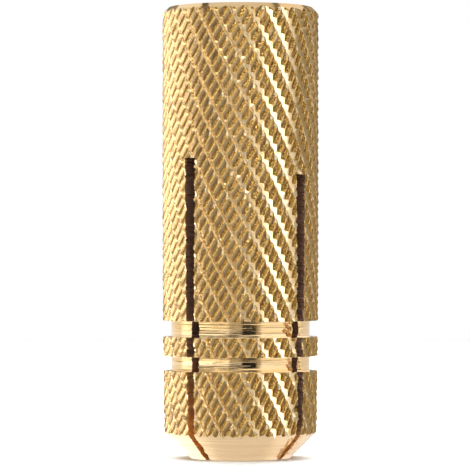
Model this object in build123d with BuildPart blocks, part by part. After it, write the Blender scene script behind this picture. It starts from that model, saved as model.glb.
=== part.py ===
"""Slotted expansion anchor: a knurled brass sleeve for an M8 screw in a 10 mm hole.

All sizes are in millimetres. The sleeve stands on its coned end, +Z runs up its axis to the
mouth of the bore, and the origin is the middle of the coned end's face.
"""

from build123d import *
import math
import os

# Sleeve
overall_length = 28.7
crest_radius = 5.0
rim_chamfer = 0.42

# Coned end
end_face_radius = 3.19
cone_angle = 45.0

# Ring grooves, lower one first, counted from the coned end
lower_groove_height = 5.57
lower_groove_width = 0.93
rib_width = 1.23
upper_groove_width = 1.02
groove_root_radius = 4.42

# Bore: the tapping size of an M8 thread, then a taper that the screw drives the legs apart by
thread_wall_radius = 3.4
thread_length = 22.7
leg_bore_radius = 2.4
leg_bore_length = 3.2

# Cross slots, each sawn through both sides, closing towards the tip
slot_width = 0.8
slot_tip_width = 0.55
long_slot_length = 19.0
short_slot_length = 18.0

# Knurl: left-hand rows of teeth, parted by finer right-hand cuts at the same angle to the axis
row_count = 27
cut_count = 54
knurl_angle = 30.5
knurl_depth = 0.22

# The four legs are drawn in a little towards the tip
leg_draw_in = 0.13
draw_in_height = 16.5

# Turning stock left outside the crests, which the knurl then takes away
turning_allowance = 0.2


def drawn_in(height):
    """How far a leg stands in from the straight sleeve at a height."""
    below_bend = max(0.0, draw_in_height - height)
    return leg_draw_in * (below_bend / draw_in_height) ** 2


# The knurl's surface in terms of two counts. The valleys between rows lie at whole numbers of
# row, those between cuts at whole numbers of cut, and the tips of the teeth half-way between.
twist_rate = math.tan(math.radians(knurl_angle)) / crest_radius


def knurl_height(row, cut):
    """Height of a point of the knurl on the sleeve."""
    return math.pi * (row / row_count - cut / cut_count) / twist_rate


def knurl_point(row, cut, depth):
    """A corner of the knurl's facets, at a depth below the crests."""
    height = knurl_height(row, cut)
    radius = crest_radius - depth - drawn_in(height)
    turn = math.pi * (row / row_count + cut / cut_count)
    return Vector(radius * math.cos(turn), radius * math.sin(turn), height)


def same_place(row, cut):
    """The one name that a valley crossing has on every turn round the sleeve."""
    turns = row // row_count
    return (row - turns * row_count, cut - turns * cut_count)


def knurled_bar(bottom, top):
    """A solid bar with pyramid teeth all over, a little past both heights."""
    cut_height = math.pi / (cut_count * twist_rate)
    facets = []
    open_edges = {}
    for row in range(row_count):
        first_cut = math.floor(cut_count * row / row_count - top / cut_height) - 1
        last_cut = math.ceil(cut_count * row / row_count - bottom / cut_height) + 1
        for cut in range(first_cut, last_cut):
            tip = knurl_point(row + 0.5, cut + 0.5, 0)
            corners = ((row, cut), (row, cut + 1), (row + 1, cut + 1), (row + 1, cut))
            for start, end in zip(corners, corners[1:] + corners[:1]):
                edge = (knurl_point(*start, knurl_depth), knurl_point(*end, knurl_depth))
                facets.append((*edge, tip))
                # An edge that no neighbour shares is left for the end caps
                if open_edges.pop((same_place(*end), same_place(*start)), None) is None:
                    open_edges[(same_place(*start), same_place(*end))] = edge
    for start, end in open_edges.values():
        cap_height = top if start.Z > (bottom + top) / 2 else bottom
        facets.append((end, start, Vector(0, 0, cap_height)))
    return Solid(Shell([Face(Wire.make_polygon(facet)) for facet in facets]))


# The turned blank, as wide as its stock where the knurl will be
stock_radius = crest_radius + turning_allowance
cone_top = (stock_radius - end_face_radius) / math.tan(math.radians(cone_angle))
lower_groove_top = lower_groove_height + lower_groove_width
upper_groove_height = lower_groove_top + rib_width
upper_groove_top = upper_groove_height + upper_groove_width
rim_radius = crest_radius - rim_chamfer
chamfer_start = overall_length - rim_chamfer - turning_allowance
thread_end = overall_length - thread_length

knurl_stock = knurled_bar(-turning_allowance, overall_length + turning_allowance)

with BuildPart() as anchor_sleeve:
    # Outside: cone, two grooves with a rib between, plain top chamfer
    with BuildSketch(Plane.XZ):
        with BuildLine():
            Polyline(
                (0, 0),
                (end_face_radius, 0),
                (stock_radius, cone_top),
                (stock_radius, lower_groove_height),
                (groove_root_radius, lower_groove_height),
                (groove_root_radius, lower_groove_top),
                (stock_radius, lower_groove_top),
                (stock_radius, upper_groove_height),
                (groove_root_radius, upper_groove_height),
                (groove_root_radius, upper_groove_top),
                (stock_radius, upper_groove_top),
                (stock_radius, chamfer_start),
                (rim_radius, overall_length),
                (0, overall_length),
                close=True,
            )
        make_face()
    revolve(axis=Axis.Z)

    # Inside: thread wall, taper, and the plain bore between the leg tips
    with BuildSketch(Plane.XZ):
        with BuildLine():
            Polyline(
                (0, 0),
                (leg_bore_radius, 0),
                (leg_bore_radius, leg_bore_length),
                (thread_wall_radius, thread_end),
                (thread_wall_radius, overall_length),
                (0, overall_length),
                close=True,
            )
        make_face()
    revolve(axis=Axis.Z, mode=Mode.SUBTRACT)

    # The two cross slots, a quarter turn apart, make four legs
    for slot_plane, slot_length in ((Plane.XZ, long_slot_length), (Plane.YZ, short_slot_length)):
        with BuildSketch(slot_plane):
            with BuildLine():
                Polyline(
                    (-slot_tip_width / 2, 0),
                    (slot_tip_width / 2, 0),
                    (slot_width / 2, slot_length),
                    (-slot_width / 2, slot_length),
                    close=True,
                )
            make_face()
        extrude(amount=stock_radius, both=True, mode=Mode.SUBTRACT)

    # The knurl over the whole outside; the cone, grooves and chamfer stay smooth
    add(knurl_stock, mode=Mode.INTERSECT)

anchor_sleeve.part.label = "anchor_sleeve"

os.makedirs("parts", exist_ok=True)
export_step(anchor_sleeve.part, "parts/anchor_sleeve.step")
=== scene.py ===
"""Dresses the knurled brass expansion anchor and sets it on a pale studio floor."""

import math
from typing import NamedTuple

import bmesh
import bpy
from bpy.props import FloatProperty, FloatVectorProperty, IntProperty, PointerProperty
from mathutils import Matrix, Vector, noise


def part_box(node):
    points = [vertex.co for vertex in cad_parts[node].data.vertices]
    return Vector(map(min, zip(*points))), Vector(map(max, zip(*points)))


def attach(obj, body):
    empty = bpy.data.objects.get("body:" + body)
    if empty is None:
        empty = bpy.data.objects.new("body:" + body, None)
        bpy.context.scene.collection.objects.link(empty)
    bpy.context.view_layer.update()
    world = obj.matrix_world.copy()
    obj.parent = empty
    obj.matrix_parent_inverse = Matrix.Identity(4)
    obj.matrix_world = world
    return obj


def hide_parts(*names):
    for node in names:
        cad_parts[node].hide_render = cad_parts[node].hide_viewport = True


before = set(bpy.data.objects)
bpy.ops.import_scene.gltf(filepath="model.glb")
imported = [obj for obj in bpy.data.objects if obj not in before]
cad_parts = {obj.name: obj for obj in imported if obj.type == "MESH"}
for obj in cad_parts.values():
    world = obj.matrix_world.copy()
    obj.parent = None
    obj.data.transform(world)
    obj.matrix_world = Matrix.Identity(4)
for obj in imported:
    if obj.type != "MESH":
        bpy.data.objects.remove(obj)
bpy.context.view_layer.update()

bl_info = {
    "name": "Expansion Anchor",
    "version": (1, 0, 0),
    "blender": (4, 5, 0),
    "location": "View3D > Sidebar > Anchor",
    "description": "Builds the knurled, slotted brass sleeve and its studio",
    "category": "Object",
}

NODE = "anchor_sleeve"
BODY = "root"

# Meshes are shaped in millimetres and brought to metres when they are finished
MM = 0.001
node_low, node_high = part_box(NODE)
SLEEVE_LENGTH = (node_high[2] - node_low[2]) / MM
CREST_RADIUS = round((node_high[0] - node_low[0]) / MM / 2, 2)


def length_value(label, text, value):
    """A size in millimetres."""
    return FloatProperty(
        name=label, description=f"{text}, in millimetres", default=value, precision=3
    )


def colour_value(label, text, value):
    """A colour in linear light."""
    return FloatVectorProperty(
        name=label, description=text, default=value, size=3, subtype="COLOR", min=0.0, max=1.0
    )


class SleeveSizes(bpy.types.PropertyGroup):
    """Sizes of the turned sleeve; heights are counted from its coned end"""

    rim_chamfer: length_value("Rim chamfer", "Height and width of the chamfer at the mouth", 0.42)
    end_radius: length_value("End radius", "Radius of the flat end of the cone", 3.19)
    lower_groove: length_value("Lower groove", "Height of the lower groove's lower wall", 5.57)
    lower_width: length_value("Lower groove width", "Width of the lower groove", 0.93)
    rib_width: length_value("Rib width", "Width of the knurled rib between the grooves", 1.23)
    upper_width: length_value("Upper groove width", "Width of the upper groove", 1.02)
    groove_radius: length_value("Groove radius", "Radius of both groove floors", 4.42)
    groove_hollow: length_value("Groove hollow", "How much deeper a groove is at its middle", 0.014)
    groove_break: length_value("Groove edge break", "Bevel along the mouths of the grooves", 0.05)
    leg_draw_in: length_value("Leg draw-in", "How far the leg tips stand in", 0.13)
    draw_in_height: length_value("Draw-in height", "Height below which the legs bend in", 16.5)


class BoreSizes(bpy.types.PropertyGroup):
    """Sizes of the threaded bore"""

    wall_radius: length_value("Thread wall radius", "Radius of the tapping hole", 3.4)
    root_radius: length_value("Thread root radius", "Radius at the bottom of the thread", 4.0)
    thread_pitch: length_value("Thread pitch", "Rise of the thread in one turn", 1.25)
    thread_length: length_value("Thread length", "Threaded depth from the mouth", 22.7)
    leg_radius: length_value("Leg bore radius", "Radius of the bore between the leg tips", 2.4)
    leg_length: length_value("Leg bore length", "Height of the plain bore at the tips", 3.2)
    lead_in: length_value("Lead-in", "Bevel where the thread starts at the mouth", 0.25)


class SlotSizes(bpy.types.PropertyGroup):
    """Sizes of the two sawn cross slots"""

    width: length_value("Slot width", "Width at the closed end", 0.8)
    tip_width: length_value("Tip width", "Width at the leg tips", 0.46)
    long_length: length_value("Long slot", "Length of the slot along Y", 19.0)
    short_length: length_value("Short slot", "Length of the slot along X", 18.0)
    waver: length_value("Saw waver", "How far the sawn walls wander", 0.12)
    raggedness: length_value("Raggedness", "Depth of the fine notches in the sawn edges", 0.07)
    stray: length_value("Saw stray", "How far the short slot strays round the grooves", 0.3)
    stray_height: length_value("Stray height", "Height below which the short slot strays", 11.0)


class KnurlSizes(bpy.types.PropertyGroup):
    """The knurl's counts and depths, and the widths of its flanks"""

    rows: IntProperty(name="Rows", description="Left-hand rows round the sleeve", default=27)
    cuts: IntProperty(name="Cuts", description="Right-hand cuts round the sleeve", default=54)
    angle: FloatProperty(
        name="Knurl angle", description="Angle to the axis", default=math.radians(30.5),
        unit="ROTATION",
    )
    row_depth: length_value("Row depth", "Depth of the valleys between rows", 0.22)
    cut_depth: length_value("Cut depth", "Depth of the finer cuts", 0.115)
    wide_flank: length_value("Wide flank", "Flank on the upper side of a row's valley", 0.28)
    steep_flank: length_value("Steep flank", "Flank on the lower side of a row's valley", 0.06)
    cut_flank: length_value("Cut flank", "Flank on each side of a cut", 0.205)
    crown: length_value("Crown", "How far a ridge between two cuts is rounded off", 0.004)
    top_fall: length_value("Top fall", "How far a row's top falls towards its steep flank", 0.1)
    crest_width: length_value("Crest width", "Bright line along a row's upper edge", 0.04)
    top_lines: IntProperty(name="Top lines", description="Mesh lines along a tooth's top", default=2)
    grain: length_value("Grain", "Roughness of the pressed metal", 0.01)
    uneven: FloatProperty(
        name="Unevenness", description="How much the cuts differ in depth", default=0.4,
        subtype="FACTOR",
    )
    smear: length_value("Smear", "How far from a slot the saw has smeared the teeth", 0.25)
    smeared: FloatProperty(
        name="Smeared depth", description="Depth left at a slot's edge", default=0.4, subtype="FACTOR"
    )


class BurrSizes(bpy.types.PropertyGroup):
    """Sizes of the curled burrs that the saw left beside the slots"""

    curl: length_value("Curl radius", "Radius that a burr is curled to", 0.07)
    thickness: length_value("Burr thickness", "Half the thickness of a burr", 0.028)
    turns: FloatProperty(name="Turns", description="How many times a burr is wound", default=1.2)


class BrassColours(bpy.types.PropertyGroup):
    """Colours of the brass"""

    # Bright brass also paints a highlight on the cut sides that face right
    bright: colour_value("Bright brass", "Freshly turned brass", (0.95, 0.70, 0.40))
    warm: colour_value("Warm brass", "Knurled brass", (0.80, 0.46, 0.10))
    # Ridge brass is rubbed wear on the crests, and also a painted highlight along the rows' upper
    # edges and in the glints
    ridge: colour_value("Ridge brass", "Rubbed ridges of the knurl", (0.97, 0.66, 0.24))
    gold: colour_value("Gold brass", "Lighter teeth of the knurl", (0.90, 0.55, 0.14))
    # Deep brass also serves as painted shade at the floors of the cuts
    deep: colour_value("Deep brass", "Brass in the valleys", (0.26, 0.135, 0.035))
    # Sawn brass is partly painted shade inside the slots
    sawn: colour_value("Sawn brass", "Walls of the slots", (0.29, 0.165, 0.12))
    # Painted light: it brightens the slot walls towards the tips, as if lit from below
    lit_tip_wall: colour_value("Fresh cut", "Walls of the slots near the tips", (1.0, 0.51, 0.15))
    # Painted shade in tiny pits
    pit_shade: colour_value("Pit", "Tiny pits between the teeth", (0.10, 0.05, 0.02))
    # Painted highlight on the steep flanks, the tips and the wide flanks near their valleys
    highlight_pale: colour_value("Pale brass", "Steep flanks of the teeth", (1.0, 0.83, 0.55))


class StudioSizes(bpy.types.PropertyGroup):
    """Camera and lights"""

    azimuth: FloatProperty(
        name="Azimuth", description="Camera's turn round the sleeve", default=math.radians(40),
        unit="ROTATION",
    )
    distance: length_value("Distance", "How far the camera is from the axis", 193.8)
    horizon: length_value("Horizon", "Height of the camera above the floor", 12.67)
    aim: length_value("Aim", "Height that the middle of the picture shows", 14.2)
    side: length_value("Side", "How far right of the axis the picture's middle lies", -0.35)
    picture: length_value("Picture width", "Width seen in the plane of the axis", 30.01)


def new_object(name, bm, materials=(), finish=0):
    """An object at the origin from a bmesh, which is freed; finish picks its faces' material."""
    for face in bm.faces:
        face.material_index = finish
    mesh = bpy.data.meshes.new(name)
    bm.to_mesh(mesh)
    bm.free()
    for material in materials:
        mesh.materials.append(material)
    piece = bpy.data.objects.new(name, mesh)
    bpy.context.scene.collection.objects.link(piece)
    return piece


def turned(points, segments):
    """A closed turned solid from radius and height pairs that start and end on the axis."""
    bm = bmesh.new()
    verts = [bm.verts.new((radius, 0, height)) for radius, height in points]
    edges = [bm.edges.new(pair) for pair in zip(verts, verts[1:])]
    bmesh.ops.spin(
        bm, geom=verts + edges, cent=(0, 0, 0), axis=(0, 0, 1),
        angle=math.tau, steps=segments, use_merge=True,
    )
    bmesh.ops.remove_doubles(bm, verts=bm.verts, dist=1e-5)
    bmesh.ops.recalc_face_normals(bm, faces=bm.faces)
    return bm


class Knurl:
    """Where the knurl's valleys run, and how deep they are at a place on the sleeve

    Rows and cuts are counted round the sleeve, and a place between two valleys is a fraction.
    """

    def __init__(self, sizes):
        self.sizes = sizes
        self.twist = math.tan(sizes.angle) / CREST_RADIUS
        around = math.tau * CREST_RADIUS * math.cos(sizes.angle)
        # Flanks as shares of a row or of a cut
        self.wide = sizes.wide_flank * sizes.rows / around
        self.steep = sizes.steep_flank * sizes.rows / around
        self.cut_flank = sizes.cut_flank * sizes.cuts / around
        # The part of a row's flank that lies below the floors of the cuts
        self.below_cuts = 1 - sizes.cut_depth / sizes.row_depth
        self.edge = 1 - self.steep

    def row_lines(self):
        """Mesh lines across one row, in row pitches: up the wide flank, along the top and down."""
        middle = (1 + self.below_cuts) / 2
        wide = [self.wide * level for level in (self.below_cuts, middle, 1.0)]
        parts = self.sizes.top_lines + 1
        top = [wide[-1] + (self.edge - wide[-1]) * part / parts for part in range(1, parts)]
        return [0.0, *wide, *top, self.edge, (1 + self.edge) / 2]

    def cut_lines(self):
        """Mesh lines across one cut, in cut pitches from its floor."""
        flank = self.cut_flank
        return [0.0, flank / 2, flank, 0.5, 1 - flank, 1 - flank / 2]

    def place(self, row, cut):
        """Turn and height of a place that its row and cut counts give."""
        turn = math.pi * (row / self.sizes.rows + cut / self.sizes.cuts)
        height = math.pi * (row / self.sizes.rows - cut / self.sizes.cuts) / self.twist
        return turn, height

    def depth(self, turn, height, bite):
        """Depth below the crests; bite is the share of their depth that the cuts were pressed to."""
        sizes = self.sizes
        row = sizes.rows * (turn + self.twist * height) / math.tau % 1
        cut = sizes.cuts * (turn - self.twist * height) / math.tau % 1
        off_floor = min(cut, 1 - cut)
        if off_floor < self.cut_flank:
            climb = off_floor / self.cut_flank
            cut_depth = sizes.cut_depth + (sizes.crown - sizes.cut_depth) * climb
        else:
            cut_depth = sizes.crown * (0.5 - off_floor) / (0.5 - self.cut_flank)
        cut_depth *= bite
        if row < self.wide:
            return max(sizes.row_depth * (1 - row / self.wide), cut_depth)
        if row < self.edge:
            return sizes.top_fall * (row - self.wide) / (self.edge - self.wide) + cut_depth
        climb = (1 - row) / self.steep
        flank = sizes.row_depth + (sizes.top_fall - sizes.row_depth) * climb
        return max(flank, sizes.top_fall + cut_depth)


def drawn_in(sizes, height):
    """How far a leg stands in at a height."""
    below = max(0.0, sizes.draw_in_height - height) / sizes.draw_in_height
    return sizes.leg_draw_in * below * below


def slot_width(slots, length, height):
    """Width of a slot at a height, or nothing above its end."""
    if height > length:
        return 0.0
    return slots.tip_width + (slots.width - slots.tip_width) * height / length


def smear(slots, knurl_sizes, place):
    """The share of the knurl's depth that is left beside the slots."""
    left = 1.0
    for across, length in ((place.x, slots.long_length), (place.y, slots.short_length)):
        above = max(0.0, place.z - length)
        beside = max(0.0, abs(across) - slot_width(slots, length, min(place.z, length)) / 2)
        away = min(1.0, math.hypot(above, beside) / knurl_sizes.smear)
        left = min(left, knurl_sizes.smeared + (1 - knurl_sizes.smeared) * away)
    return left


def knurled_bar(sizes, knurl_sizes, slots):
    """One row of teeth spun round the axis, with mesh lines along both families of valleys."""
    past, seam = 2, 0.002
    knurl = Knurl(knurl_sizes)
    row_lines, cut_lines = knurl.row_lines(), knurl.cut_lines()
    rows, cuts = knurl_sizes.rows, knurl_sizes.cuts
    cut_height = -knurl.place(0, 1)[1]
    row_height = knurl.place(1, 0)[1]
    first_cut = -math.ceil(SLEEVE_LENGTH / cut_height) - 1
    cut_count = 2 - first_cut + math.ceil(row_height / cut_height)
    across, along = len(row_lines), len(cut_lines)
    bm = bmesh.new()
    bmesh.ops.create_grid(bm, x_segments=across, y_segments=along * cut_count, size=0.5)
    for vert in bm.verts:
        column = round((vert.co.x + 0.5) * across)
        line = round((vert.co.y + 0.5) * along * cut_count)
        row = row_lines[column % across] + column // across
        cut = first_cut + cut_lines[line % along] + line // along
        turn, height = knurl.place(row, cut)
        vert.co = (CREST_RADIUS * math.cos(turn), CREST_RADIUS * math.sin(turn), height)
    bmesh.ops.spin(
        bm, geom=bm.verts[:] + bm.edges[:] + bm.faces[:], cent=(0, 0, 0), axis=(0, 0, 1),
        angle=math.tau * (rows - 1) / rows, steps=rows - 1, use_duplicate=True,
    )
    bmesh.ops.remove_doubles(bm, verts=bm.verts, dist=seam)
    press(bm, sizes, knurl, slots)
    middle = SLEEVE_LENGTH / 2
    for cap in (SLEEVE_LENGTH + past, -past):
        rims = [edge for edge in bm.edges if edge.is_boundary]
        rim = [edge for edge in rims if (edge.verts[0].co.z > middle) == (cap > middle)]
        grown = bmesh.ops.extrude_edge_only(bm, edges=rim)["geom"]
        points = [item for item in grown if isinstance(item, bmesh.types.BMVert)]
        bmesh.ops.pointmerge(bm, verts=points, merge_co=(0, 0, cap))
    bmesh.ops.recalc_face_normals(bm, faces=bm.faces)
    return bm


def press(bm, sizes, knurl, slots):
    """Presses the valleys into a smooth bar, and lays each face's fold along its higher diagonal."""
    bite_scale, broad_scale, fine_scale, broad_weight = 1.6, 1.1, 6.0, 1.4
    for vert in bm.verts:
        height = vert.co.z
        turn = math.atan2(vert.co.y, vert.co.x)
        bite = 1 + knurl.sizes.uneven * noise.noise(vert.co * bite_scale)
        depth = knurl.depth(turn, height, bite) * smear(slots, knurl.sizes, vert.co)
        rough = noise.noise(vert.co * broad_scale) * broad_weight + noise.noise(vert.co * fine_scale)
        worn = max(0.0, knurl.sizes.grain * (1 + rough) / 2)
        radius = CREST_RADIUS - drawn_in(sizes, height) - depth - worn
        vert.co = (radius * math.cos(turn), radius * math.sin(turn), height)
    folds = {"FIXED": [], "ALTERNATE": []}
    for face in bm.faces:
        out = [math.hypot(vert.co.x, vert.co.y) for vert in face.verts]
        folds["FIXED" if out[0] + out[2] > out[1] + out[3] else "ALTERNATE"].append(face)
    for method, faces in folds.items():
        bmesh.ops.triangulate(bm, faces=faces, quad_method=method)


def turned_blank(sizes):
    """Cone, two grooves, rib and rim chamfer, left full where the knurl is."""
    allowance, segments = 0.3, 256
    stock = CREST_RADIUS + allowance
    floor = sizes.groove_radius
    edge = sizes.groove_break
    profile = [(0, 0), (sizes.end_radius, 0), (stock, stock - sizes.end_radius)]
    low = sizes.lower_groove
    for width in (sizes.lower_width, sizes.upper_width):
        high = low + width
        crest = CREST_RADIUS - drawn_in(sizes, low)
        rise = stock - crest + edge
        profile += [
            (stock, low - rise), (crest - edge, low), (floor, low),
            (floor - sizes.groove_hollow, (low + high) / 2),
            (floor, high), (crest - edge, high), (stock, high + rise),
        ]
        low = high + sizes.rib_width
    rim = CREST_RADIUS - sizes.rim_chamfer
    profile += [(stock, SLEEVE_LENGTH - stock + rim), (rim, SLEEVE_LENGTH), (0, SLEEVE_LENGTH)]
    return turned(profile, segments)


def bore_cutter(bore):
    """The drilled and tapered hole through the sleeve."""
    past, segments = 1.0, 128
    thread_end = SLEEVE_LENGTH - bore.thread_length
    mouth = bore.wall_radius + bore.lead_in
    profile = [
        (0, -past), (bore.leg_radius, -past), (bore.leg_radius, bore.leg_length),
        (bore.wall_radius, thread_end), (bore.wall_radius, SLEEVE_LENGTH - bore.lead_in),
        (mouth + past, SLEEVE_LENGTH + past), (0, SLEEVE_LENGTH + past),
    ]
    return turned(profile, segments)


def thread_cutter(bore):
    """One V groove wound up the bore, as a tap leaves it."""
    steps_in_turn = 48
    pitch = bore.thread_pitch
    start = SLEEVE_LENGTH - bore.thread_length - pitch * 0.6
    turns = math.ceil((bore.thread_length + 2 * pitch) / pitch)
    # The groove opens a little inside the wall, so that nothing of the wall stays before it
    inside = bore.wall_radius - 0.12
    half_mouth = pitch * 0.43
    half_root = pitch * 0.07
    bm = bmesh.new()
    section = [
        bm.verts.new((inside, 0, start - half_mouth)),
        bm.verts.new((bore.root_radius, 0, start - half_root)),
        bm.verts.new((bore.root_radius, 0, start + half_root)),
        bm.verts.new((inside, 0, start + half_mouth)),
    ]
    edges = [bm.edges.new((section[i], section[(i + 1) % 4])) for i in range(4)]
    bmesh.ops.spin(
        bm, geom=section + edges, cent=(0, 0, 0), axis=(0, 0, 1), angle=math.tau * turns,
        steps=turns * steps_in_turn, dvec=(0, 0, pitch / steps_in_turn),
    )
    bmesh.ops.holes_fill(bm, edges=[edge for edge in bm.edges if edge.is_boundary])
    bmesh.ops.recalc_face_normals(bm, faces=bm.faces)
    return bm


def slot_cutter(slots, length, turn, seed, stray):
    """A thin slab, closing towards the tip, whose walls wander as a saw leaves them."""
    past, cuts = 1.0, 240
    notch_scale, drift_scale, wander_scale, stray_ramp = 11.0, 4.3, 0.9, 3.0
    reach = CREST_RADIUS + past
    bm = bmesh.new()
    bmesh.ops.create_cube(bm, size=1.0)
    for vert in bm.verts:
        high = vert.co.z > 0
        width = slots.width if high else slots.tip_width
        vert.co = (vert.co.x * width, vert.co.y * 2 * reach, length if high else -past)
    upright = [e for e in bm.edges if abs(e.verts[0].co.z - e.verts[1].co.z) > past]
    bmesh.ops.subdivide_edges(bm, edges=upright, cuts=cuts, use_grid_fill=True)
    for vert in bm.verts:
        along, height = seed + vert.co.y, vert.co.z
        # The two walls differ in their notches and drift, but wander as one
        wall = vert.co.x * 3
        notch = noise.noise(Vector((along, height * notch_scale, wall)))
        drift = noise.noise(Vector((along, height * drift_scale, wall)))
        wander = noise.noise(Vector((along, height * wander_scale, 0.0)))
        low = min(1.0, max(0.0, (slots.stray_height - height) / stray_ramp))
        vert.co.x += slots.waver * drift + slots.raggedness * notch + stray * low * wander
    bmesh.ops.recalc_face_normals(bm, faces=bm.faces)
    bmesh.ops.rotate(bm, verts=bm.verts, cent=(0, 0, 0), matrix=Matrix.Rotation(turn, 3, "Z"))
    return bm


def burr(bm, burrs, size, place, tilt):
    """One curled sliver, lying at a place with its axis tilted by shares of a turn."""
    steps = 10
    curl, half = burrs.curl * size, burrs.thickness * size
    rise = curl * 1.1
    section = [
        bm.verts.new((curl + half * math.cos(turn), 0, half * math.sin(turn)))
        for turn in (math.tau * corner / 4 for corner in range(4))
    ]
    edges = [bm.edges.new((section[i], section[(i + 1) % 4])) for i in range(4)]
    before = set(bm.verts) - set(section)
    bmesh.ops.spin(
        bm, geom=section + edges, cent=(0, 0, 0), axis=(0, 0, 1), angle=math.tau * burrs.turns,
        steps=steps, dvec=(0, 0, rise / steps),
    )
    made = [vert for vert in bm.verts if vert not in before]
    lay = Matrix.Rotation(tilt[0] * math.tau, 3, "X") @ Matrix.Rotation(tilt[1] * math.tau, 3, "Y")
    bmesh.ops.rotate(bm, verts=made, cent=(0, 0, 0), matrix=lay)
    bmesh.ops.translate(bm, verts=made, vec=place)


class Heap(NamedTuple):
    """Burrs that lie together, on a floor whose radius grows with height by the slope

    The short slot's mouth on +X is at 0 degrees.
    """

    floor: float
    heights: tuple
    degrees: tuple
    count: int
    size: float
    slope: float = 0.0


def slot_heaps(sizes, slots):
    """The heaps beside the slots: large at the grooves and on the cone, small up the edges."""
    floor = sizes.groove_radius
    lower = sizes.lower_groove
    upper = lower + sizes.lower_width + sizes.rib_width
    cone = sizes.end_radius - 0.03
    leg = CREST_RADIUS - 0.16
    leg_tip = CREST_RADIUS - 0.26
    slot_end = CREST_RADIUS - 0.18
    short, long = slots.short_length, slots.long_length
    return (
        Heap(floor, (upper + 0.1, upper + 0.95), (-11.5, -4.5), 26, 1.0),
        Heap(floor, (upper + 0.1, upper + 0.9), (4.6, 6.0), 5, 0.6),
        Heap(floor, (lower + 0.1, lower + 0.86), (-7.5, -4.4), 12, 0.9),
        Heap(floor, (lower + 0.1, lower + 0.86), (4.4, 6.5), 7, 0.7),
        Heap(cone, (0.12, 1.35), (-7.5, -4.6), 26, 0.75, slope=1.0),
        Heap(cone, (0.3, 1.5), (4.6, 6.0), 8, 0.5, slope=1.0),
        Heap(slot_end, (short - 0.05, short + 0.2), (0.5, 7.0), 9, 0.8),
        Heap(slot_end, (short - 0.4, short + 0.1), (-6.5, -4.6), 4, 0.7),
        Heap(leg, (9.0, short - 0.1), (-5.6, -4.5), 34, 0.5),
        Heap(leg, (9.0, short - 0.1), (4.5, 5.4), 24, 0.45),
        Heap(leg_tip, (2.2, 5.4), (-5.0, -3.6), 16, 0.55),
        Heap(leg_tip, (2.2, 5.4), (3.6, 4.6), 10, 0.5),
        Heap(leg, (9.0, long), (-95.4, -94.5), 22, 0.4),
        Heap(leg, (9.0, long), (-85.5, -84.6), 22, 0.4),
    )


def burr_heap(burrs, heaps):
    """All the burrs of some heaps, spread evenly over each heap by steps that don't repeat."""
    height_step, turn_step, size_step = 0.6180, 0.7549, 0.5698
    bm = bmesh.new()
    for heap in heaps:
        for index in range(1, heap.count + 1):
            up, round_about, large = (
                (index * step) % 1 for step in (height_step, turn_step, size_step)
            )
            height = heap.heights[0] + (heap.heights[1] - heap.heights[0]) * up
            turn = math.radians(
                heap.degrees[0] + (heap.degrees[1] - heap.degrees[0]) * round_about
            )
            size = heap.size * (0.7 + 0.6 * large)
            radius = heap.floor + heap.slope * height + burrs.curl * size * 0.8
            place = (radius * math.cos(turn), radius * math.sin(turn), height)
            burr(bm, burrs, size, place, (round_about + large, up))
    bmesh.ops.holes_fill(bm, edges=[edge for edge in bm.edges if edge.is_boundary], sides=4)
    bmesh.ops.recalc_face_normals(bm, faces=bm.faces)
    return bm


def applied(piece, cutters):
    """Puts Boolean modifiers on a piece, keeps the result as its mesh and removes the cutters."""
    for name, (cutter, operation) in cutters.items():
        cut = piece.modifiers.new(name, "BOOLEAN")
        cut.operation = operation
        cut.object = cutter
        cut.solver = "MANIFOLD"
        cut.material_mode = "INDEX"
    bpy.context.view_layer.update()
    shaped = piece.evaluated_get(bpy.context.evaluated_depsgraph_get())
    mesh = bpy.data.meshes.new_from_object(shaped)
    old = piece.data
    piece.modifiers.clear()
    piece.data = mesh
    bpy.data.meshes.remove(old)
    for cutter, _ in cutters.values():
        cutter_mesh = cutter.data
        bpy.data.objects.remove(cutter)
        bpy.data.meshes.remove(cutter_mesh)


class Graph:
    """Adds nodes to a tree and joins them"""

    def __init__(self, tree):
        self.tree = tree

    def join(self, value, socket):
        """Feeds a socket from another node."""
        self.tree.links.new(value, socket)

    def node(self, kind, values=None, **settings):
        """A node with its settings made first, and values or links in its sockets."""
        made = self.tree.nodes.new(kind)
        for key, value in settings.items():
            setattr(made, key, value)
        for socket, value in (values or {}).items():
            if isinstance(value, bpy.types.NodeSocket):
                self.join(value, made.inputs[socket])
            else:
                made.inputs[socket].default_value = value
        return made

    def placed(self, group, place, **numbers):
        """The outputs of a node group that reads a place."""
        return self.node("ShaderNodeGroup", {"Vector": place, **numbers}, node_tree=group).outputs

    def maths(self, operation, first, second=0.0, clamp=False):
        made = self.node("ShaderNodeMath", {0: first, 1: second}, operation=operation)
        made.use_clamp = clamp
        return made.outputs[0]

    def times(self, first, second):
        return self.maths("MULTIPLY", first, second)

    def less(self, value, start=1.0, clamp=False):
        """What a value leaves of a start."""
        return self.maths("SUBTRACT", start, value, clamp=clamp)

    def split(self, place):
        return self.node("ShaderNodeSeparateXYZ", {0: place}).outputs

    def noise(self, place, scale, detail, roughness=0.5):
        values = {"Vector": place, "Scale": scale, "Detail": detail, "Roughness": roughness}
        return self.node("ShaderNodeTexNoise", values).outputs[0]

    def blend(self, factor, first, second):
        """One colour over another, each a socket or plain red, green and blue."""
        first, second = (
            colour if isinstance(colour, bpy.types.NodeSocket) else (*colour, 1.0)
            for colour in (first, second)
        )
        # A Mix node has its colours in sockets 6 and 7 and puts them out of socket 2
        made = self.node("ShaderNodeMix", {0: factor, 6: first, 7: second}, data_type="RGBA")
        return made.outputs[2]

    def ramp(self, value, low, high, start=0.0, end=1.0):
        """Goes from start to end as the value goes from low to high."""
        made = self.node("ShaderNodeMapRange", {0: value, 1: low, 2: high, 3: start, 4: end})
        return made.outputs[0]


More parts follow.
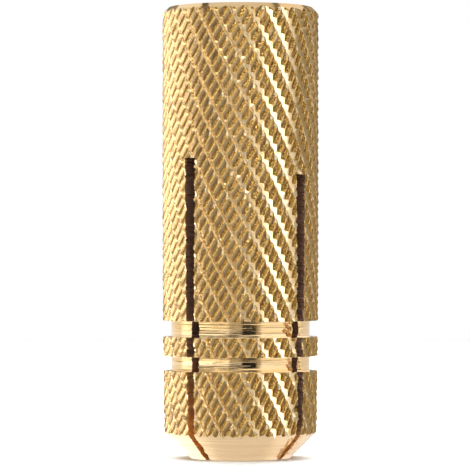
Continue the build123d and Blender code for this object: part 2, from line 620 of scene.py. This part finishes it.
def new_group(name, numbers, outputs):
    """A shader node group that takes a place and some numbers, and puts out values."""
    group = bpy.data.node_groups.new(name, "ShaderNodeTree")
    new_socket = group.interface.new_socket
    new_socket(name="Vector", in_out="INPUT", socket_type="NodeSocketVector")
    for label, value in numbers.items():
        socket = new_socket(name=label, in_out="INPUT", socket_type="NodeSocketFloat")
        socket.default_value = value
    for label in outputs:
        new_socket(name=label, in_out="OUTPUT", socket_type="NodeSocketFloat")
    entry = group.nodes.new("NodeGroupInput").outputs
    leave = group.nodes.new("NodeGroupOutput").inputs
    return group, Graph(group), entry, leave


def tone_glint_and_pit_shade_group():
    """A cloudy mask and specks for colour variation, with finer painted glints and painted shade in
    pits.
    """
    group, graph, entry, leave = new_group(
        "brass_clouds", {"Scale": 1.0}, ("Mask", "Specks", "PitShade", "Glints")
    )
    fineness = 14.0
    clouds = graph.noise(entry["Vector"], entry["Scale"], 4.0)
    specks = graph.noise(entry["Vector"], graph.times(entry["Scale"], fineness), 2.0)
    for label, pattern, low, high in (
        ("Mask", clouds, 0.35, 0.65),
        ("Specks", specks, 0.45, 0.7),
        # Painted shade in tiny pits
        ("PitShade", specks, 0.56, 0.62),
        # Painted glints
        ("Glints", specks, 0.42, 0.36),
    ):
        graph.join(graph.ramp(pattern, low, high), leave[label])
    return group


def turning_group():
    """Fine rings round the axis, from radius and height, with broader bands among them."""
    group, graph, entry, leave = new_group("turning_rings", {"Rings": 20.0}, ("Height", "Bands"))
    maths, times = graph.maths, graph.times
    # How much a ring changes on its way round, and how much it counts by radius
    change, by_radius = 0.03, 0.61
    x, y, height = graph.split(entry["Vector"])
    radius = maths("SQRT", maths("ADD", times(x, x), times(y, y)))
    along = maths("ADD", times(radius, by_radius), height)
    ring = graph.node(
        "ShaderNodeCombineXYZ", {0: times(x, change), 1: times(y, change), 2: along}
    ).outputs[0]
    fine = graph.noise(ring, entry["Rings"], 2.0)
    broad = graph.noise(ring, times(entry["Rings"], 0.22), 1.0)
    graph.join(maths("ADD", times(fine, 0.35), times(broad, 1.9)), leave["Height"])
    graph.join(graph.ramp(broad, 0.4, 0.62), leave["Bands"])
    return group


def knurl_group(knurl):
    """Where a place lies on its tooth, how deep, and a number that each tooth has to itself."""
    labels = (
        "Depth", "Flank", "Crest", "Tooth", "Streaks", "Steep", "Facing", "ValleyShade", "Tip",
    )
    group, graph, entry, leave = new_group("knurl_pattern", {}, labels)
    maths, times, less, sizes = graph.maths, graph.times, graph.less, knurl.sizes
    x, y, height = graph.split(entry["Vector"])
    turn = maths("DIVIDE", maths("ARCTAN2", y, x), math.tau)
    lift = times(height, knurl.twist / math.tau)
    rows = times(maths("ADD", turn, lift), sizes.rows)
    cuts = times(maths("SUBTRACT", turn, lift), sizes.cuts)
    row, cut = maths("FRACT", rows), maths("FRACT", cuts)
    up_wide = maths("DIVIDE", row, knurl.wide)
    up_steep = maths("DIVIDE", less(row), knurl.steep)
    up_cut = maths("DIVIDE", maths("PINGPONG", cut, 0.5), knurl.cut_flank)

    # The ridges between two cuts, and a line along each row's upper edge; the material paints both as
    # rubbed brass with a painted highlight
    steep_edge = 1 + sizes.crest_width / sizes.steep_flank
    on_bevel = times(
        maths("GREATER_THAN", up_steep, 0.8), maths("LESS_THAN", up_steep, steep_edge)
    )
    crest = maths("MAXIMUM", maths("GREATER_THAN", up_cut, 1.0), on_bevel)

    # Depths as shares of a row's depth
    row_depth = less(maths("MINIMUM", up_wide, up_steep))
    cut_depth = times(less(up_cut), sizes.cut_depth / sizes.row_depth)
    depth = maths("MAXIMUM", row_depth, cut_depth, clamp=True)

    on_wide = maths("LESS_THAN", up_wide, up_steep)
    above_cut = maths("GREATER_THAN", row_depth, cut_depth)
    on_slope = maths("GREATER_THAN", row_depth, 0.0)
    flank = times(on_wide, times(above_cut, on_slope))
    steep = times(less(on_wide), on_slope)
    facing = times(maths("GREATER_THAN", cut, 0.5), maths("LESS_THAN", up_cut, 1.0))
    # Painted shade: a mask for the floors of the cuts, off the wide flanks
    valley_shade = times(less(up_cut, clamp=True), less(flank))

    tooth_place = graph.node(
        "ShaderNodeCombineXYZ",
        {
            0: maths("FLOORED_MODULO", maths("FLOOR", rows), sizes.rows),
            1: maths("FLOORED_MODULO", maths("FLOOR", cuts), sizes.cuts),
        },
    )
    tooth = graph.node("ShaderNodeTexWhiteNoise", {"Vector": tooth_place.outputs[0]})
    tooth = tooth.outputs["Value"]

    # A third of the teeth get a painted highlight at the tip, near the steep flank and beside a cut
    tip_row, tip_cut, highlit_above = 0.87, 0.3, 0.66
    off_tip = maths(
        "ADD",
        times(maths("ABSOLUTE", maths("SUBTRACT", row, tip_row)), 5.5),
        times(maths("ABSOLUTE", maths("SUBTRACT", cut, tip_cut)), 3.2),
    )
    near_tip = maths("MULTIPLY", less(off_tip, clamp=True), 2.5, clamp=True)
    tip = times(near_tip, maths("GREATER_THAN", tooth, highlit_above))

    drift = graph.noise(entry["Vector"], 2.2, 3.0)
    wave = maths("ADD", times(cut, 3 * math.tau), times(drift, 16.0))
    streaks = graph.ramp(maths("SINE", wave), -0.2, 0.9)
    values = (depth, flank, crest, tooth, streaks, steep, facing, valley_shade, tip)
    for label, value in zip(labels, values):
        graph.join(value, leave[label])
    return group


def new_material(name):
    """A material with its shader, and Object coordinates in millimetres."""
    material = bpy.data.materials.new(name)
    material.use_nodes = True
    tree = material.node_tree
    graph = Graph(tree)
    shader = tree.nodes["Principled BSDF"]
    shader.inputs["Metallic"].default_value = 1.0
    place = graph.node("ShaderNodeTexCoord").outputs["Object"]
    scaled = graph.node("ShaderNodeMapping", {"Vector": place, "Scale": (1 / MM, 1 / MM, 1 / MM)})
    return material, graph, shader, scaled.outputs[0]


def bumped(graph, shader, height, depth):
    """Feeds a height to the shader's normal, with its depth in millimetres."""
    bump = graph.node("ShaderNodeBump", {"Height": height, "Distance": depth * MM})
    graph.join(bump.outputs[0], shader.inputs["Normal"])


def knurled_brass(colours, clouds, pattern):
    """Pressed teeth: clean flanks, and tops that are rough, specked and streaked; paler flanks,
    crests, tips and glints are painted highlights, and dark cut floors and pits are painted shade.
    """
    material, graph, shader, place = new_material("knurled_brass")
    maths, times, less, blend = graph.maths, graph.times, graph.less, graph.blend
    tone = graph.placed(clouds, place, Scale=0.9)
    tooth = graph.placed(pattern, place)
    flank, facing, depth = tooth["Flank"], tooth["Facing"], tooth["Depth"]
    top = less(flank)
    rough_part = times(top, less(times(facing, 0.85)))
    specks = times(tone["Specks"], rough_part)
    # The wide flanks' colour: clean brass, paled towards the valley as a painted highlight
    clean = blend(times(tooth["Tooth"], 0.5), colours.bright, colours.gold)
    clean = blend(times(depth, depth), clean, colours.highlight_pale)
    mixed = times(maths("ADD", tone["Mask"], tooth["Tooth"]), 0.5)
    base = blend(mixed, colours.warm, colours.gold)
    # Coats over the base, in the order in which they are laid
    for mask, weight, colour in (
        # Painted highlight: the sides of the cuts that face right are paler
        (facing, 0.8, colours.bright),
        (times(tooth["Streaks"], rough_part), 0.75, colours.deep),
        (specks, 0.35, colours.deep),
        # Painted shade in the floors of the cuts
        (tooth["ValleyShade"], 0.8, colours.deep),
        # Rubbed crests, with a painted highlight along each row's upper edge
        (times(tooth["Crest"], top), 0.8, colours.ridge),
        (flank, 1.0, clean),
        # Painted highlight on the steep flanks
        (tooth["Steep"], 1.0, colours.highlight_pale),
        # Painted highlight on a third of the tips
        (tooth["Tip"], 1.0, colours.highlight_pale),
        # Painted glints, and painted shade in tiny pits
        (times(tone["Glints"], rough_part), 0.75, colours.ridge),
        (times(tone["PitShade"], rough_part), 0.85, colours.pit_shade),
    ):
        base = blend(times(mask, weight), base, colour)
    graph.join(base, shader.inputs["Base Color"])
    graph.join(maths("ADD", 0.18, times(specks, 0.15)), shader.inputs["Roughness"])
    scratches = graph.noise(place, 6.0, 3.0, roughness=0.6)
    height = times(scratches, maths("ADD", times(rough_part, 0.85), 0.15))
    bumped(graph, shader, maths("SUBTRACT", height, times(specks, 0.8)), 0.024)
    return material


def turned_brass(colours, rings):
    """Bright satin of the grooves, cone and chamfer."""
    material, graph, shader, place = new_material("turned_brass")
    lines = graph.placed(rings, place, Rings=16.0)
    height = graph.split(place)[2]
    # The cone, which ends between these heights, is plainer and duller than what is above it
    cone_end = (2.0, 3.0)
    banded = graph.times(lines["Bands"], graph.ramp(height, *cone_end, 0.12, 0.4))
    base = graph.blend(banded, colours.bright, colours.warm)
    graph.join(base, shader.inputs["Base Color"])
    polish = graph.ramp(lines["Bands"], 0.0, 1.0, 0.08, 0.15)
    rough = graph.maths("ADD", polish, graph.ramp(height, *cone_end, 0.17, 0.0))
    graph.join(rough, shader.inputs["Roughness"])
    bumped(graph, shader, lines["Height"], 0.016)
    return material


def sawn_brass(colours, clouds):
    """Darker walls of the slots, whose dark brown is partly painted shade, with a painted light from
    below that turns them orange near the tips.
    """
    material, graph, shader, place = new_material("sawn_brass")
    maths, times = graph.maths, graph.times
    tone = graph.placed(clouds, place, Scale=1.4)
    x, y, height = graph.split(place)
    # Painted light: the walls grow brighter and more orange towards the tips and on the cone
    near_tip = graph.ramp(height, 2.0, 7.0, 1.0, 0.0)
    on_cone = graph.ramp(height, 1.2, 2.2, 1.0, 0.0)
    in_long = maths("GREATER_THAN", maths("ABSOLUTE", y), maths("ABSOLUTE", x))
    lit_tip_wall = times(near_tip, maths("MAXIMUM", in_long, on_cone))
    base = graph.blend(lit_tip_wall, colours.sawn, colours.lit_tip_wall)
    base = graph.blend(times(tone["Mask"], 0.3), base, colours.deep)
    graph.join(base, shader.inputs["Base Color"])
    shader.inputs["Metallic"].default_value = 0.6
    shader.inputs["Roughness"].default_value = 0.5
    bumped(graph, shader, graph.noise(place, 7.0, 5.0), 0.03)
    return material


def bored_brass(colours, clouds):
    """Cut thread inside the bore."""
    material, graph, shader, place = new_material("bored_brass")
    tone = graph.placed(clouds, place, Scale=0.8)
    base = graph.blend(tone["Mask"], colours.warm, colours.sawn)
    graph.join(base, shader.inputs["Base Color"])
    shader.inputs["Roughness"].default_value = 0.34
    bumped(graph, shader, graph.noise(place, 12.0, 3.0), 0.012)
    return material


def burr_brass(colours):
    """Bright golden slivers."""
    material, graph, shader, place = new_material("burr_brass")
    tone = graph.ramp(graph.noise(place, 3.0, 2.0), 0.35, 0.65)
    graph.join(graph.blend(tone, colours.gold, colours.bright), shader.inputs["Base Color"])
    shader.inputs["Roughness"].default_value = 0.3
    return material


# The sleeve's material slots
KNURLED, TURNED, SAWN, BORED = range(4)
# Facets that meet at less than this angle are shaded as one
SMOOTH_ANGLE = math.radians(18)


class AnchorStep:
    """What the operators share"""

    bl_options = {"REGISTER", "UNDO"}


class ANCHOR_OT_burrs(AnchorStep, bpy.types.Operator):
    """Lay the saw's curled burrs beside the slots"""

    bl_idname = "anchor.burrs"
    bl_label = "Saw burrs"

    def execute(self, context):
        scene = context.scene
        heap = burr_heap(scene.anchor_burrs, slot_heaps(scene.anchor_sleeve, scene.anchor_slots))
        bmesh.ops.scale(heap, verts=heap.verts, vec=(MM, MM, MM))
        burrs = new_object("saw_burrs", heap, [burr_brass(scene.anchor_colours)])
        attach(burrs, BODY)
        return {"FINISHED"}


class ANCHOR_OT_sleeve(AnchorStep, bpy.types.Operator):
    """Turn, bore, thread, slot and knurl the sleeve"""

    bl_idname = "anchor.sleeve"
    bl_label = "Sleeve"

    def execute(self, context):
        scene = context.scene
        sizes, bore, slots = scene.anchor_sleeve, scene.anchor_bore, scene.anchor_slots
        colours = scene.anchor_colours
        clouds = tone_glint_and_pit_shade_group()
        finishes = [
            knurled_brass(colours, clouds, knurl_group(Knurl(scene.anchor_knurl))),
            turned_brass(colours, turning_group()),
            sawn_brass(colours, clouds),
            bored_brass(colours, clouds),
        ]
        sleeve = new_object("knurled_sleeve", turned_blank(sizes), finishes, TURNED)
        long_slot = slot_cutter(slots, slots.long_length, 0.0, 1.0, 0.0)
        short_slot = slot_cutter(slots, slots.short_length, math.pi / 2, 7.0, slots.stray)
        cuts = {
            "bore": (bore_cutter(bore), BORED, "DIFFERENCE"),
            "thread": (thread_cutter(bore), BORED, "DIFFERENCE"),
            "long_slot": (long_slot, SAWN, "DIFFERENCE"),
            "short_slot": (short_slot, SAWN, "DIFFERENCE"),
            "knurl": (knurled_bar(sizes, scene.anchor_knurl, slots), KNURLED, "INTERSECT"),
        }
        applied(
            sleeve,
            {
                name: (new_object(name, bm, finishes, finish), operation)
                for name, (bm, finish, operation) in cuts.items()
            },
        )
        bm = bmesh.new()
        bm.from_mesh(sleeve.data)
        for face in bm.faces:
            face.smooth = True
        for edge in bm.edges:
            edge.smooth = edge.calc_face_angle(0.0) < SMOOTH_ANGLE
        bmesh.ops.scale(bm, verts=bm.verts, vec=(MM, MM, MM))
        bm.to_mesh(sleeve.data)
        bm.free()
        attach(sleeve, BODY)
        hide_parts(NODE)
        return {"FINISHED"}


def one_shader(name, kind, values):
    """A studio material made of one shader."""
    material = bpy.data.materials.new(name)
    material.use_nodes = True
    tree = material.node_tree
    tree.nodes.clear()
    graph = Graph(tree)
    shader = graph.node(kind, values)
    ending = graph.node("ShaderNodeOutputMaterial")
    graph.join(shader.outputs[0], ending.inputs["Surface"])
    return material


WARM_WHITE = (1.0, 0.98, 0.95)
ROSY_WHITE = (1.0, 0.96, 0.98)
AMBER = (1.0, 0.86, 0.6)
# Boxes dimmer than this are amber, and those that start below this rise are rosy
DIM = 0.5
ROSY_RISE = -48
# In metres from the sleeve
FAR_AWAY = 2.0
STRIP_AWAY = 1.9
FLOOR_LIGHT_AWAY = 0.3

# Soft boxes that only the brass reflects: name, sides in degrees to the right of the camera,
# rises in degrees above the level of the sleeve's middle, and brightness
BRASS_LIGHTS = (
    # Level: the floors of the grooves
    ("left_level_box", (-115, -80), (-6, 2), 1.6),
    ("left_band_box", (-80, -18), (-8.3, -2.0), 1.6),
    ("left_band_low_box", (-80, -18), (-2.3, 5), 0.18),
    ("centre_band_box", (-18, 3), (-8.3, -2.6), 0.8),
    ("centre_band_low_box", (-18, 3), (-2.6, 5), 0.08),
    ("golden_edge_box", (26, 34), (-7.5, 2), 0.42),
    ("right_level_box", (34, 118), (-7.5, 2), 1.1),
    ("right_rear_level_box", (118, 180), (-7, 2), 0.8),
    ("left_rear_level_box", (180, 245), (-7, 2), 1.0),
    # A little higher: the ridges between two cuts
    ("left_ridge_box", (-165, -80), (2, 14), 0.6),
    ("centre_left_ridge_box", (-80, -45), (5, 14), 0.9),
    ("centre_ridge_box", (-45, -20), (5, 14), 1.6),
    ("front_ridge_box", (-20, 30), (5, 14), 1.6),
    ("right_ridge_box", (30, 100), (2, 13), 1.3),
    ("right_rear_ridge_box", (100, 172), (2, 11), 1.5),
    # Higher: the sides of the cuts that face left
    ("left_rear_box", (188, 250), (14, 32), 0.3),
    ("left_upper_box", (-110, -85), (18, 33), 0.6),
    ("centre_left_upper_box", (-85, -45), (22, 41), 0.68),
    ("centre_upper_box", (-45, -22), (31, 44), 0.9),
    ("valley_box", (-45, -22), (15, 31), 0.3),
    ("front_upper_box", (-22, 46), (31, 44), 1.1),
    ("right_upper_box", (46, 100), (18, 37), 0.42),
    ("right_upper_far_box", (100, 120), (18, 27), 0.45),
    ("left_high_box", (-82, -12), (44, 63), 4.0),
    ("front_high_box", (-12, 46), (46, 63), 1.0),
    ("right_high_box", (46, 100), (38, 58), 1.0),
    ("right_rear_high_box", (100, 135), (28, 58), 1.0),
    ("right_rear_box", (120, 172), (12, 27), 0.45),
    ("high_box", (135, 260), (32, 58), 0.95),
    ("top_box", (0, 360), (63.5, 89), 0.75),
    # Lower: the wide flanks of the rows, and the sides of the cuts that face right
    ("low_box", (-36, 5), (-46, -26.5), 2.8),
    ("low_left_shoulder_box", (-60, -36), (-42, -25), 0.95),
    ("low_right_shoulder_box", (5, 24), (-46, -26.5), 0.9),
    ("low_right_box", (24, 80), (-40, -24), 0.32),
    ("low_right_far_box", (80, 118), (-40, -17), 0.32),
    ("low_peach_box", (-82, -60), (-38, -21.5), 0.5),
    ("low_far_peach_box", (-125, -82), (-32, -19.5), 0.42),
    ("cell_box_1", (-122, -98), (-15.5, -6), 2.6),
    ("cell_box_2", (-98, -75), (-19, -8.5), 3.2),
    ("cell_box_3", (-75, -48), (-21, -10.5), 3.2),
    ("cell_box_4", (-48, -20), (-24, -12.5), 2.6),
    ("cell_box_5", (-20, -5), (-24.5, -13), 0.9),
    ("cell_box_6", (-5, 15), (-24.5, -13), 0.6),
    ("low_front_box", (15, 80), (-24, -8), 0.5),
    # Below: the cone
    ("low_left_rear_box", (205, 250), (-22, -7), 0.4),
    ("cone_left_box_1", (186, 205), (-50, -11), 1.9),
    ("cone_left_box_2", (205, 225), (-60, -24), 1.9),
    ("cone_left_box_3", (225, 250), (-60, -33), 1.9),
    ("cone_right_box_1", (155, 174), (-50, -12), 1.1),
    ("cone_right_box_2", (135, 155), (-60, -24), 1.1),
    ("cone_right_box_3", (90, 135), (-62, -40), 1.1),
    ("under_left_box", (150, 330), (-75, -50), 1.1),
    ("under_box", (0, 360), (-89, -62), 0.85),
)


def soft_box(name, studio, profile, sides, brightness, colour, seen_by):
    """A profile of distance and height pairs, swept round the sleeve between two sides."""
    bm = bmesh.new()
    start = studio.azimuth - math.pi / 2 + math.radians(sides[0])
    verts = [
        bm.verts.new((away * math.cos(start), away * math.sin(start), height))
        for away, height in profile
    ]
    edges = [bm.edges.new(pair) for pair in zip(verts, verts[1:])]
    bmesh.ops.spin(
        bm, geom=verts + edges, cent=(0, 0, 0), axis=(0, 0, 1),
        angle=math.radians(sides[1] - sides[0]), steps=24,
    )
    glow = one_shader(
        name, "ShaderNodeEmission", {"Color": (*colour, 1.0), "Strength": brightness}
    )
    box = new_object(name, bm, [glow])
    box.visible_camera = False
    box.visible_shadow = False
    box.visible_diffuse = seen_by == "floor"
    box.visible_glossy = seen_by == "brass"


def arch(away, low, high, steps=8):
    """The profile of a wall that curves round the sleeve's middle between two angles of height."""
    middle = SLEEVE_LENGTH / 2 * MM
    rises = [math.radians(low + (high - low) * step / steps) for step in range(steps + 1)]
    return [(away * math.cos(rise), middle + away * math.sin(rise)) for rise in rises]


class ANCHOR_OT_stage(AnchorStep, bpy.types.Operator):
    """Set out the floor, the soft lights and the camera"""

    bl_idname = "anchor.stage"
    bl_label = "Studio"

    def execute(self, context):
        scene = context.scene
        self.floor()
        self.sky(scene)
        self.lights(scene.anchor_studio)
        self.camera(scene, scene.anchor_studio)
        return {"FINISHED"}

    def lights(self, studio):
        """Soft boxes far off, above and below, for the brass, and two nearer ones for the floor."""
        for name, sides, rises, brightness in BRASS_LIGHTS:
            colour = ROSY_WHITE if rises[0] < ROSY_RISE else WARM_WHITE
            if brightness < DIM:
                colour = AMBER
            soft_box(name, studio, arch(FAR_AWAY, *rises), sides, brightness, colour, "brass")
        # A dark strip before them gives each groove its dark patch
        strip = arch(STRIP_AWAY, -9, 5)
        soft_box("dark_strip", studio, strip, (2, 26.5), 0.01, WARM_WHITE, "brass")
        high = arch(FLOOR_LIGHT_AWAY, 30, 70)
        soft_box("floor_light", studio, high, (120, 240), 7.0, WARM_WHITE, "floor")
        soft_box("floor_front_light", studio, high, (-70, 60), 3.5, WARM_WHITE, "floor")

    def floor(self):
        """A white disc, a hair below the sleeve, that the brass doesn't reflect."""
        radius, gap = 0.27, 0.00002
        bm = bmesh.new()
        bmesh.ops.create_circle(bm, cap_ends=True, segments=96, radius=radius)
        bmesh.ops.translate(bm, verts=bm.verts, vec=(0, 0, -gap))
        white = one_shader("studio_white", "ShaderNodeBsdfDiffuse", {"Color": (0.9, 0.9, 0.9, 1.0)})
        floor = new_object("studio_floor", bm, [white])
        floor.visible_glossy = False

    def sky(self, scene):
        """White behind the sleeve, and a dim warm room for everything else."""
        world = bpy.data.worlds.new("studio_sky")
        scene.world = world
        world.use_nodes = True
        graph = Graph(world.node_tree)
        backdrop = world.node_tree.nodes["Background"]
        backdrop.inputs["Color"].default_value = (1.0, 1.0, 1.0, 1.0)
        backdrop.inputs["Strength"].default_value = 1.0
        room = {"Color": (1.0, 0.82, 0.58, 1.0), "Strength": 0.13}
        dim = graph.node("ShaderNodeBackground", room).outputs[0]
        seen = graph.node("ShaderNodeLightPath").outputs["Is Camera Ray"]
        mixed = graph.node("ShaderNodeMixShader", {0: seen, 1: dim, 2: backdrop.outputs[0]})
        ending = world.node_tree.nodes["World Output"]
        graph.join(mixed.outputs[0], ending.inputs["Surface"])
        scene.view_settings.view_transform = "Standard"

    def camera(self, scene, studio):
        """A long lens a little below the sleeve's middle, looking slightly up at it."""
        view = bpy.data.cameras.new("photo_camera")
        eye = bpy.data.objects.new("photo_camera", view)
        scene.collection.objects.link(eye)
        turn = studio.azimuth
        back = Vector((math.sin(turn), -math.cos(turn), 0))
        right = Vector((math.cos(turn), math.sin(turn), 0))
        eye.location = (back * studio.distance + right * studio.side) * MM
        eye.location.z = studio.horizon * MM
        target = right * studio.side * MM + Vector((0, 0, studio.aim * MM))
        eye.rotation_euler = (eye.location - target).to_track_quat("Z", "Y").to_euler()
        view.sensor_width = 36.0
        view.lens = view.sensor_width * studio.distance / studio.picture
        view.clip_start = 0.01
        view.clip_end = 20.0
        scene.camera = eye


class ANCHOR_PT_tools(bpy.types.Panel):
    """Lists the steps that build the anchor and its studio"""

    bl_label = "Expansion Anchor"
    bl_idname = "ANCHOR_PT_tools"
    bl_space_type = "VIEW_3D"
    bl_region_type = "UI"
    bl_category = "Anchor"

    def draw(self, context):
        for step in STEPS:
            self.layout.operator(step.bl_idname)
        for group in GROUPS:
            owner = getattr(context.scene, group)
            box = self.layout.box()
            for name in owner.__annotations__:
                box.prop(owner, name)


STEPS = (ANCHOR_OT_sleeve, ANCHOR_OT_burrs, ANCHOR_OT_stage)
GROUPS = {
    "anchor_sleeve": SleeveSizes,
    "anchor_bore": BoreSizes,
    "anchor_slots": SlotSizes,
    "anchor_knurl": KnurlSizes,
    "anchor_burrs": BurrSizes,
    "anchor_colours": BrassColours,
    "anchor_studio": StudioSizes,
}


def register():
    for kind in (*GROUPS.values(), *STEPS, ANCHOR_PT_tools):
        bpy.utils.register_class(kind)
    for name, kind in GROUPS.items():
        setattr(bpy.types.Scene, name, PointerProperty(type=kind))


def unregister():
    for name in GROUPS:
        delattr(bpy.types.Scene, name)
    for kind in (ANCHOR_PT_tools, *STEPS, *GROUPS.values()):
        bpy.utils.unregister_class(kind)


def main():
    """Builds everything."""
    register()
    bpy.ops.anchor.sleeve()
    bpy.ops.anchor.burrs()
    bpy.ops.anchor.stage()


if __name__ == "__main__":
    main()
